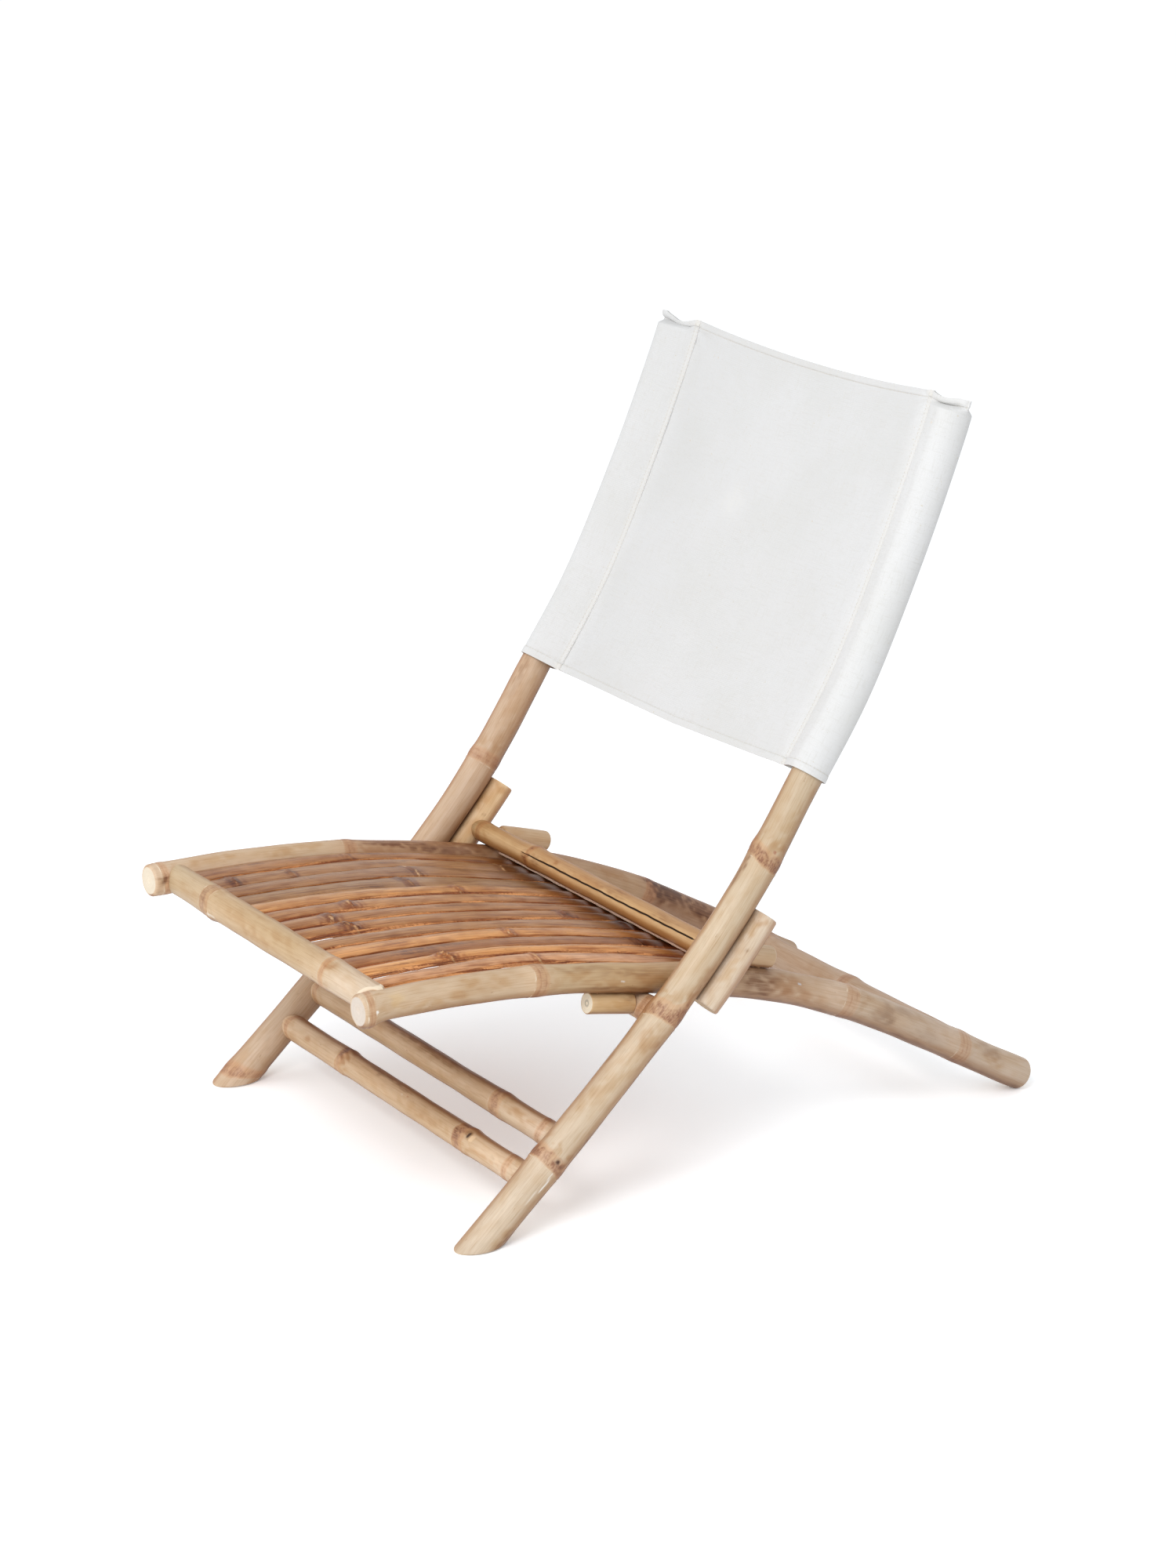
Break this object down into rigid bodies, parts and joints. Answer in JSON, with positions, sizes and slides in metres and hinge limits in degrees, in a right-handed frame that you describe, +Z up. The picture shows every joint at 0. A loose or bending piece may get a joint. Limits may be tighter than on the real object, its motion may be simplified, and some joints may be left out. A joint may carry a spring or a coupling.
{
  "type": "folding bamboo recliner",
  "caption": "Low folding recliner: bowed bamboo poles with a canvas back sling cross bowed rails with a slatted seat, locked by cross bars and short stops.",
  "frame": {"origin": "on the floor, at the middle of the chair's bounding box", "axes": "+X across the chair, towards its right pole; +Y from the front of the seat to the rear; +Z up"},
  "size_m": [0.56, 0.8704, 0.8181],
  "materials": {
    "bamboo": "satin",
    "split_bamboo": "satin",
    "peg": "matte",
    "canvas": "matte"
  },
  "bodies": {
    "back_frame": {"back_pole_right": "bamboo", "spacer_block_right": "bamboo", "spacer_block_peg_right_1": "peg", "spacer_block_peg_right_2": "peg", "back_pole_left": "bamboo", "spacer_block_left": "bamboo", "spacer_block_peg_left_1": "peg", "spacer_block_peg_left_2": "peg", "upper_lock_bar": "bamboo", "upper_lock_bar_peg_right": "peg", "upper_lock_bar_peg_left": "peg", "lower_support_bar": "bamboo", "lower_support_bar_peg_right": "peg", "lower_support_bar_peg_left": "peg", "lower_leg_stretcher": "bamboo", "lower_leg_stretcher_peg_right": "peg", "lower_leg_stretcher_peg_left": "peg", "upper_leg_stretcher": "bamboo", "upper_leg_stretcher_peg_right": "peg", "upper_leg_stretcher_peg_left": "peg", "back_sling": "canvas"},
    "seat_frame": {"seat_rail_right": "bamboo", "top_stop_right": "bamboo", "top_stop_peg_right_1": "peg", "top_stop_peg_right_2": "peg", "bottom_stop_right": "bamboo", "bottom_stop_peg_right_1": "peg", "bottom_stop_peg_right_2": "peg", "seat_rail_left": "bamboo", "top_stop_left": "bamboo", "top_stop_peg_left_1": "peg", "top_stop_peg_left_2": "peg", "bottom_stop_left": "bamboo", "bottom_stop_peg_left_1": "peg", "bottom_stop_peg_left_2": "peg", "front_bar": "bamboo", "front_bar_peg_right": "peg", "front_bar_peg_left": "peg", "rear_bar": "bamboo", "rear_bar_peg_right": "peg", "rear_bar_peg_left": "peg", "seat_slat_01": "split_bamboo", "seat_slat_02": "split_bamboo", "seat_slat_03": "split_bamboo", "seat_slat_04": "split_bamboo", "seat_slat_05": "split_bamboo", "seat_slat_06": "split_bamboo", "seat_slat_07": "split_bamboo", "seat_slat_08": "split_bamboo", "seat_slat_09": "split_bamboo", "seat_slat_10": "split_bamboo", "seat_slat_11": "split_bamboo", "seat_slat_12": "split_bamboo", "seat_slat_13": "split_bamboo", "slat_cover_strip": "split_bamboo", "slat_batten_middle": "bamboo", "slat_batten_rear": "bamboo"}
  },
  "joints": [
    {"name": "fold", "type": "hinge", "parent": "back_frame", "child": "seat_frame", "pos_m": [0, -0.04919, 0.22702], "axis": [-1, 0, 0], "range_deg": [0, 100]}
  ]
}
